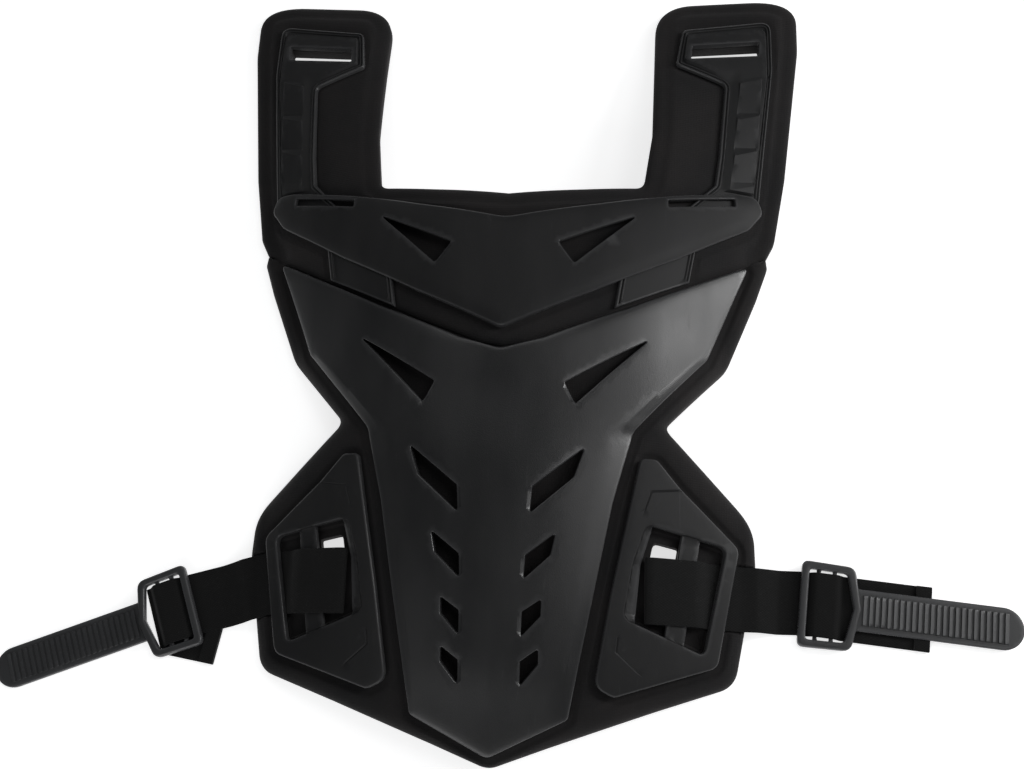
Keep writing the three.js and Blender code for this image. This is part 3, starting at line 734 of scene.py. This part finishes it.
def inner_slope(vent, side):
    """The sloped wall along a vent's inner edge: its border, and how far down the slope a point lies."""
    a, b = (np.array((row[0] * side, row[1]), float) for row in vent[1:3])
    out = square_to(a, b, -side) * VENT_SLOPE
    length = np.linalg.norm(b - a)
    along = (b - a) / length

    def lowered(p):
        u, t = (p - a) @ along, (p - a) @ out / VENT_SLOPE**2
        ends = np.minimum(np.minimum(u, length - u) / VENT_SLOPE, 1)
        return np.where(t > -0.3, np.clip(ends - t, 0, 1), 0)

    corners = [a, a + along * VENT_SLOPE + out, b - along * VENT_SLOPE + out, b]
    border = [p + (q - p) * i / 8 for p, q in zip(corners, corners[1:]) for i in range(8)]
    return np.array([*border, b]), lowered


def upper_plate():
    outer = upper_plate_path
    holes = [outline(own_side(rows, side), 2.0) for rows in (UPPER_VENT, UPPER_SLOT) for side in (1, -1)]
    passages = [ring(path, -0.6) for path in shoulder_paths.values()]
    slopes = [inner_slope(UPPER_VENT, side) for side in (1, -1)]

    def top(p):
        d = away(outer, p)
        height = BAR_TOP - 1.5 * (1 - np.clip(d / 9, 0, 1)) ** 2 - fillet(d, 1.3)
        height -= VENT_DROP * np.max([lowered(p) for _, lowered in slopes], 0)
        for hole in holes:
            height = height - fillet(away(hole, p), 0.8)
        return height

    def low(p):
        wall = 1 - smooth(away(outer, p), 3.7, 4.2)
        for path in passages:
            wall = np.where(within(path, p), 0, wall * smooth(away(path, p), 0.0, 0.4))
        return FRONT + 3.0 * (1 - wall)

    lines = rounded_lines(outer, 1.3) + [ring(outer, d) for d in (3.7, 4.2, 6, 9)]
    lines += passages + [ring(path, -0.4) for path in passages]
    for hole in holes:
        lines += rounded_lines(hole, 0.8, True)
    hard = [(slope[0], False) for slope in slopes]
    shell = skin(outer, holes, lines, 4.0, top, low, on_form(BAR_TOP), hard)
    build("Upper_Plate", [shell], SOFT_SHELL, "upper_plate")


def lower_plate():
    outer = lower_plate_path
    holes = [outline(own_side(rows, side), 2.0) for rows in LOWER_VENTS for side in (1, -1)]
    crease_x, crease_y = np.array(BAND_CREASE).T
    edge_x, edge_y, _ = np.array(LOWER_PLATE[5:9]).T
    along = np.arange(-crease_y[0], -crease_y[-1], 2.5)
    creases = [(np.stack([side * np.interp(along, -crease_y, crease_x), -along], 1), False) for side in (1, -1)]
    slopes = [inner_slope(rows, side) for rows in LOWER_VENTS for side in (1, -1)]

    def top(p):
        d = away(outer, p)
        x, down = np.abs(p[:, 0]), -p[:, 1]
        flanged = smooth(down, 4, 12) * (1 - smooth(down, 214, 226))
        beyond = np.maximum(0, x - np.interp(down, -crease_y, crease_x))
        flange = np.interp(down, (50, 68), (WAIST_FALL, LEG_FALL)) * beyond
        across = np.maximum(0, 1 - (x / np.interp(down, -edge_y, edge_x)) ** 2)
        arch = LEG_ARCH * smooth(down, 30, 95) * (1 - smooth(down, 190, 245)) * across
        rolled = 0.6 * (1 - np.clip(d / 6, 0, 1)) ** 2
        height = PLATE_TOP + arch - flange * flanged - rolled * (1 - flanged) - fillet(d, 0.9)
        height -= VENT_DROP * np.max([lowered(p) for _, lowered in slopes], 0)
        for hole in holes:
            height = height - fillet(away(hole, p), 0.7)
        return height

    lines = rounded_lines(outer, 0.9) + [*creases, ring(outer, 3.2), ring(outer, 6.0)]
    for hole in holes:
        lines += rounded_lines(hole, 0.7, True)
    hard = [(slope[0], False) for slope in slopes]
    shell = skin(outer, holes, lines, 4.0, top, flat_low(FRONT), on_form(PLATE_TOP), hard)
    build("Lower_Plate", [shell], SHELL, "lower_plate")


def shoulder_plate(name, side):
    outer, hole = shoulder_paths[name], slot_paths[name]
    body = outline(own_side(SHOULDER_BODY, side), 2.0)
    inner_edge = np.array([(x * side, y) for x, y, _ in SHOULDER_BODY[6:8]])
    bevel_normal = square_to(*inner_edge, side)
    (top_out, top_in), foot = SHOULDER_PANELS[0][:2], SHOULDER_PANELS[-1]
    band_rows = [
        (top_out[0], top_out[1] + 3.5), (top_in[0], top_in[1] + 3.5), foot[2], (142.2, 108.8), (159, 109.4), foot[3],
    ]
    band = outline(own_side(band_rows, side), 2.0)
    base, raised = FRONT + 2.0, FRONT + 4.0

    middle = (outer + np.roll(outer, -1, 0)) / 2
    ridged = away(np.array([(x * side, y) for x, y, _ in SHOULDER_PLATE[9:11]]), middle, False) > 0.2

    def top(p):
        d = away(outer, p, only=ridged)
        height = base + 0.9 * bump(d, 1.0, 0.95) + 0.9 * bump(d, 2.9, 0.95) - fillet(away(outer, p), 0.5)
        inside = within(body, p)
        steep = np.clip(away(body, p) / 1.5, 0, 1)
        gentle = np.clip((p - inner_edge[0]) @ bevel_normal / SHOULDER_BEVEL, 0, 1)
        gentle = np.maximum(gentle, smooth(p[:, 1], 191, 203))
        height = np.where(inside, base + (raised - base) * np.minimum(steep, gentle), height)
        x, y = p[:, 0] * side, p[:, 1]
        knots, values = [], []
        for (x0, y0), (x1, y1), (x2, y2), (x3, y3) in (*SHOULDER_PANELS, COVERED_PANEL):
            knots += [y1 + (y0 - y1) * (x - x1) / (x0 - x1), y2 + (y3 - y2) * (x - x2) / (x3 - x2)]
            values += [1.0, -0.4]
        knots, values = [knots[0] + 1.2, *knots], [0.0, *values[:-2], 0.1, -0.4]
        saw = np.zeros(len(p))
        for high, deep, a, b in zip(knots, knots[1:], values, values[1:]):
            t = (high - y) / np.maximum(high - deep, 0.1)
            saw = np.where((t >= 0) & (t <= 1), a + (b - a) * t, saw)
        height = np.where(inside, height + saw * np.clip(away(band, p) / 0.7, 0, 1) * within(band, p), height)
        return height - fillet(away(hole, p), 0.7)

    lines = [ring(outer, d) for d in (0.12, 0.5, 1.0, 1.5, 1.95, 2.4, 2.9, 3.4, 3.85)] + [body, ring(body, 1.5)]
    lines += [*rounded_lines(hole, 0.7, True), ring(band, 0.7)]
    hard = [band]
    for corner in (*SHOULDER_PANELS, COVERED_PANEL):
        for (xa, ya), (xb, yb) in ((corner[0], corner[1]), (corner[2], corner[3])):
            steps = np.linspace(-0.12, 1.12, 40)
            across = np.array([((xa + (xb - xa) * t) * side, ya + (yb - ya) * t) for t in steps])
            across = across[within(band, across)]
            if len(across) > 1:
                hard.append((across, False))
    top_edge = inner_edge + bevel_normal * SHOULDER_BEVEL
    hard.append((top_edge[0] + (top_edge[1] - top_edge[0]) * np.linspace(0.02, 0.98, 30)[:, None], False))
    shell = skin(outer, [hole], lines, 2.6, top, flat_low(FRONT), on_form(PLATE_TOP), hard)
    build(f"Shoulder_Plate_{name.capitalize()}", [shell], SOFT_SHELL, f"shoulder_plate_{name}", 28)


def groove_lines(rows, side, width):
    """A bent line and its two neighbours, for a V groove."""
    path = np.array([(x * side, y) for x, y in rows], float)
    d = np.diff(path, axis=0)
    d /= np.linalg.norm(d, axis=1)[:, None]
    normal = np.stack([-d[:, 1], d[:, 0]], 1)
    mean = np.stack([normal[0], (normal[0] + normal[1]) / (1 + normal[0] @ normal[1]), normal[1]])
    out = []
    for k in (-width, 0, width):
        corner = path + mean * k
        stretches = [a + (b - a) * np.linspace(0, 1, 10)[:, None] for a, b in zip(corner, corner[1:])]
        out.append(np.concatenate([stretches[0], stretches[1][1:]]))
    return out


def hip_plate(name, side):
    outer, window = hip_paths[name], window_paths[name]
    bar = [np.array((x * side, y)) for x, y in HIP_BAR]
    low_edge = [np.array((x * side, y)) for x, y in HIP_FOOT]
    foot = clipped(window, bar[1], square_to(bar[1], bar[2], -side))
    for a, b in zip(low_edge, low_edge[1:]):
        foot = clipped(foot, a, square_to(a, b, side))
    foot = split_long(foot, 2.0)
    holes = [foot, split_long(clipped(window, bar[0], square_to(bar[0], bar[3], side)), 2.0)]
    grooves = [groove_lines(rows, side, GROOVE_HALF) for rows in HIP_GROOVES]
    frame_top, bar_top, wall_low = FRONT + 4.0, FRONT + 2.4, FRONT + 0.5
    bar_normal = square_to(bar[1], bar[2], side)

    def top(p):
        d_in, d_foot = away(window, p), away(foot, p)
        height = frame_top - fillet(away(outer, p), 1.4) - fillet(d_in, 1.1)
        for groove in grooves:
            height -= GROOVE_DEPTH * np.clip(1 - away(groove[1], p, False) / GROOVE_HALF, 0, 1)
        inside = within(window, p) & (d_in > 0.12)
        barred = (p - bar[1]) @ bar_normal > -0.01
        edge = np.min([away(hole, p) for hole in holes], 0)
        wall = wall_low + (frame_top - 1.1 - wall_low) * d_foot / np.maximum(d_foot + d_in, 0.01)
        return np.where(inside, np.where(barred, bar_top - fillet(edge, 0.8), wall), height)

    lines = rounded_lines(outer, 1.4) + rounded_lines(window, 1.1, True) + [window, ring(window, 2.0)]
    lines += rounded_lines(holes[1], 0.8, True)
    hard = [ring(window, 0.12)] + [(line, False) for groove in grooves for line in groove]
    bar_run = (bar[2] - bar[1]) * np.linspace(0.06, 0.94, 24)[:, None]
    lines += [(bar[1] + bar_normal * k + bar_run, False) for k in (0.3, 0.8)]
    shell = skin(outer, holes, lines, 3.4, top, flat_low(FRONT), on_form(frame_top), hard)
    build(f"Hip_Plate_{name.capitalize()}", [shell], SOFT_SHELL, f"hip_plate_{name}")


# ---- straps


PATH_REACH, PATH_STEP = 1.6, 2.2


def rounded_path(path):
    """A path of distance and height with its corners rounded and its long stretches divided."""
    path = np.array(path, float)
    out = [path[0]]
    for before, c, after in zip(path, path[1:], path[2:]):
        a, b = before - c, after - c
        la, lb = np.linalg.norm(a), np.linalg.norm(b)
        p, q = c + a / la * min(PATH_REACH, 0.45 * la), c + b / lb * min(PATH_REACH, 0.45 * lb)
        out += [(1 - t) ** 2 * p + 2 * t * (1 - t) * c + t * t * q for t in np.linspace(0, 1, 5)]
    out.append(path[-1])
    dense = [p for a, b in zip(out, out[1:]) for p in divided(a, b, PATH_STEP)]
    return np.array([*dense, out[-1]])


def ribbon(path, place):
    """A flat strap along a path of distance and height, with thinner woven edges."""
    d = np.gradient(path, axis=0)
    d /= np.maximum(np.linalg.norm(d, axis=1), 1e-9)[:, None]
    normal = np.stack([-d[:, 1], d[:, 0]], 1)
    across = np.array([-1, -0.985, -0.94, -0.8, -0.55, -0.28, 0, 0.28, 0.55, 0.8, 0.94, 0.985, 1]) * (WEB_WIDTH / 2)
    thick = WEB_THICK / 2 * np.array([0.45, 0.8, 1, 1, 1, 1, 1, 1, 1, 1, 1, 0.8, 0.45])
    length = np.concatenate([[0], np.cumsum(np.linalg.norm(np.diff(path, axis=0), axis=1))])
    n, m = len(path), len(across)
    points, uv = [], []
    for sign in (1, -1):
        for t, w in zip(across, thick):
            spots = path + normal * (sign * w)
            points.append(place(spots[:, 0], np.full(n, t), spots[:, 1]))
            uv += [(s, t) for s in length]
    points = np.concatenate(points)

    def upper(j, i):
        return j * n + i

    def lower(j, i):
        return (m + j) * n + i

    faces = []
    for j in range(m - 1):
        for i in range(n - 1):
            faces.append((upper(j, i), upper(j, i + 1), upper(j + 1, i + 1), upper(j + 1, i)))
            faces.append((lower(j, i), lower(j + 1, i), lower(j + 1, i + 1), lower(j, i + 1)))
        faces.append((upper(j, 0), upper(j + 1, 0), lower(j + 1, 0), lower(j, 0)))
        faces.append((upper(j, n - 1), lower(j, n - 1), lower(j + 1, n - 1), upper(j + 1, n - 1)))
    for i in range(n - 1):
        faces.append((upper(0, i), lower(0, i), lower(0, i + 1), upper(0, i + 1)))
        faces.append((upper(m - 1, i), upper(m - 1, i + 1), lower(m - 1, i + 1), lower(m - 1, i)))
    return points, faces, uv


def webbing(name):
    strap = STRAPS[name]
    side, bx, by, _, base, _, _ = strap
    bar, bend, angles = strap_run(strap)
    buckle = BEND + math.hypot(bx - bend[0], by - bend[1])

    def place(u, t, h):
        at_bend = np.clip((u - BEND) / TURN_LENGTH + 0.5, 0, 1)
        at_buckle = np.clip((u - buckle + 4) / TURN_LENGTH + 1, 0, 1)
        angle = angles[0] + (angles[1] - angles[0]) * at_bend + (angles[2] - angles[1]) * at_buckle
        runs = np.minimum(u, BEND), np.clip(u - BEND, 0, buckle - BEND), np.maximum(u - buckle, 0)
        x = bar[0] - np.sin(angle) * t + sum(run * math.cos(a) for run, a in zip(runs, angles))
        y = bar[1] + np.cos(angle) * t + sum(run * math.sin(a) for run, a in zip(runs, angles))
        return upright(x, y, h)

    under = base - SEAT_GAP - WEB_THICK / 2 - WEB_EASE
    over = base + BUCKLE_BAR_THICK + SEAT_GAP + WEB_THICK / 2 + WEB_EASE
    floor = WEB_THICK / 2 + 0.1
    path = [
        *WEB_LOOP, (50, 4.9), (57, under + 0.2), (61, under), (buckle + 5, under),
        (buckle + 8.4, over), (buckle + 21.6, over), (buckle + 25.2, floor),
    ]
    end = WEB_TAIL_RIGHT if side > 0 else WEB_END_LEFT
    shells = [ribbon(rounded_path([*path, (buckle + end, floor)]), place)]
    if side > 0:
        hem = [(buckle + end - 9, floor + 1.55), (buckle + end - 4, floor + 1.55), (buckle + end, floor + 1.5)]
        shells.append(ribbon(rounded_path(hem), place))
    else:
        a, b = (np.array(spot, float) for spot in WEB_TAIL_LEFT)
        along = (b - a) / np.linalg.norm(b - a)
        side_way = np.array((-along[1], along[0]))

        def lie(u, t, h):
            x, y = a[0] + along[0] * u + side_way[0] * t, a[1] + along[1] * u + side_way[1] * t
            return np.stack([x, y, h], -1)

        size = np.linalg.norm(b - a)
        tail = [(0, floor - WEB_EASE), (size / 2, floor - WEB_EASE), (size, floor - WEB_EASE)]
        hem = [(size - 9, floor + 1.5), (size - 4, floor + 1.5), (size, floor + 1.45)]
        shells += [ribbon(rounded_path(tail), lie), ribbon(rounded_path(hem), lie)]
    uv = [spot for shell in shells for spot in shell[2]]
    shells = [(*shell[:2], ()) for shell in shells]
    build(f"Webbing_{name.capitalize()}", shells, WEB, f"webbing_{name}", 40, uv)


def buckle_strap(name):
    strap = STRAPS[name]
    _, bx, by, _, base, tip, _ = strap
    nose = [np.array(row[:2], float) for row in BUCKLE[1:4]]
    meet = nose[0][0] + (nose[1][0] - nose[0][0]) * (1 - LADDER_HALF / nose[0][1])
    turn_angles = np.linspace(math.pi / 2, -math.pi / 2, 22)
    arc = [(LADDER_END + LADDER_HALF * math.cos(a), LADDER_HALF * math.sin(a), 0) for a in turn_angles]
    ladder_rows = [(meet, LADDER_HALF, 1.5), *arc, (meet, -LADDER_HALF, 1.5)]
    outer = outline([*BUCKLE[:2], *ladder_rows, *BUCKLE[3:]], 2.0)
    ring_path = outline(BUCKLE, 1.5)
    opening = outline(BUCKLE_OPEN, 1.5)
    (first_start, first_end), (last_start, last_end) = BUCKLE_BARS
    holes = [
        clipped(opening, (first_start, 0), (-1, 0)),
        clipped(clipped(opening, (first_end, 0), (1, 0)), (last_start, 0), (-1, 0)),
        clipped(opening, (last_end, 0), (1, 0)),
    ]
    holes = [split_long(hole, 1.6) for hole in holes]
    pitch = math.atan2(base - tip, LADDER_END + LADDER_HALF)
    angle = strap_run(strap)[2][2]

    def place(x, y, h):
        x, z = x * math.cos(pitch) + h * math.sin(pitch), h * math.cos(pitch) - x * math.sin(pitch) + base
        cos, sin = math.cos(angle), math.sin(angle)
        return np.stack([bx + x * cos - y * sin, by + x * sin + y * cos, z], -1)

    def top(p):
        x, y = p.T
        d_out, d_ring, d_open = away(outer, p), away(ring_path, p), away(opening, p)
        in_ring, in_open = within(ring_path, p), within(opening, p)
        crown = BUCKLE_THICK - fillet(d_ring, 1.5) - fillet(d_open, 1.3)
        step = (x - RIB_FIRST) / RIB_PITCH
        inside = (step > -0.5) & (step < RIB_COUNT - 0.5)
        phase = (step + 0.5) % 1.0 - 0.5
        tooth = np.interp(phase, RIB_PHASES, RIB_HEIGHTS) * inside
        tooth = tooth * (1 - smooth(np.abs(y), RIB_HALF, RIB_HALF + RIB_RUNOUT))
        ladder = LADDER_THICK - fillet(d_out, 0.8) + tooth
        height = np.where(in_ring & (d_ring > 0.1), crown, ladder)
        edge = np.min([away(hole, p) for hole in holes], 0)
        return np.where(in_open & (d_open > 0.1), BUCKLE_BAR_THICK - fillet(edge, 0.6), height)

    lines = rounded_lines(outer, 0.8) + [ring_path, ring(ring_path, 0.1), opening, ring(opening, 0.1)]
    lines += rounded_lines(ring_path, 1.5) + rounded_lines(opening, 1.3, True)
    for hole in holes:
        lines += [ring(hole, -d) for d in (0.1, 0.3, 0.6)]
    hard = []
    for i in range(RIB_COUNT):
        for phase in RIB_PHASES:
            x = RIB_FIRST + (i + phase) * RIB_PITCH
            rib = np.array([(x, y) for y in np.linspace(-RIB_HALF - RIB_RUNOUT, RIB_HALF + RIB_RUNOUT, 9)])
            hard.append((rib, False))
    for y in (RIB_HALF, RIB_HALF + RIB_RUNOUT):
        for sign in (1, -1):
            rail = [(x, y * sign) for x in np.arange(RIB_FIRST - 2, RIB_FIRST + RIB_COUNT * RIB_PITCH, 1.2)]
            lines.append((np.array(rail), False))
    shell = skin(outer, holes, lines, 2.6, top, flat_low(0), place, hard)
    build(f"Buckle_Strap_{name.capitalize()}", [shell], BUCKLE_LOOK, f"buckle_strap_{name}", 30)


upper_pad()
lower_pad()
upper_plate()
lower_plate()
for side_name, side_sign in SIDES.items():
    shoulder_plate(side_name, side_sign)
    hip_plate(side_name, side_sign)
    webbing(side_name)
    buckle_strap(side_name)

# ---- stage and light


def pale_floor():
    m = Nodes("pale_floor")
    coords = m.node("ShaderNodeTexCoord").outputs["Object"]
    tone = m.mix(m.noise(coords, 3, 2), (0.80, 0.80, 0.80, 1), (0.83, 0.83, 0.83, 1))
    m.shader.inputs["Emission Color"].default_value = (1, 1, 1, 1)
    return m.finish(Base_Color=tone, Roughness=0.9, Emission_Strength=0.7)


FLOOR_HALF, FLOOR_DROP = 14.0, 0.0004
floor_mesh = bpy.data.meshes.new("floor")
floor_corners = [(x * FLOOR_HALF, y * FLOOR_HALF, 0) for x, y in ((-1, -1), (1, -1), (1, 1), (-1, 1))]
floor_mesh.from_pydata(floor_corners, [], [(0, 1, 2, 3)])
floor_mesh.materials.append(pale_floor())
floor_object = bpy.data.objects.new("floor", floor_mesh)
scene.collection.objects.link(floor_object)
floor_object.location.z = -FLOOR_DROP

# Area lights: name, place, aim, width, height, lean in degrees, watts
SOFTBOXES = [
    ("key_right", (1.22, 0.26, 0.55), (0.1, 0.0, 0.03), 0.35, 0.75, -21.5, 9.0),
    ("high_right", (0.8, 0.0, 1.3), (0.06, -0.1, 0.04), 0.6, 0.6, 0.0, 2.6),
    ("fill_foot", (-0.25, -1.3, 0.7), (0.0, -0.05, 0.03), 1.2, 0.5, 0.0, 5.0),
    ("high_foot", (-0.6, -0.9, 1.0), (0.0, -0.05, 0.03), 1.0, 0.5, 0.0, 0.9),
    ("head_side", (-0.15, 0.8, 1.3), (0.0, 0.1, 0.03), 1.2, 0.5, 0.0, 2.8),
]
for light_name, place_at, aim, width, height, leaning, power in SOFTBOXES:
    light = bpy.data.lights.new(light_name, "AREA")
    light.shape, light.size, light.size_y, light.energy = "RECTANGLE", width, height, power
    lamp = bpy.data.objects.new(light_name, light)
    scene.collection.objects.link(lamp)
    lamp.location = place_at
    facing = (Vector(aim) - Vector(place_at)).to_track_quat("-Z", "Y")
    lamp.rotation_euler = (facing @ Quaternion((0, 0, 1), math.radians(leaning))).to_euler()

SKY_COLOUR, SKY_STRENGTH = (0.9, 0.95, 1.0, 1), 0.08
world = bpy.data.worlds.new("studio")
scene.world = world
world.use_nodes = True
background = world.node_tree.nodes["Background"]
background.inputs["Color"].default_value = SKY_COLOUR
background.inputs["Strength"].default_value = SKY_STRENGTH
scene.view_settings.view_transform = "Standard"
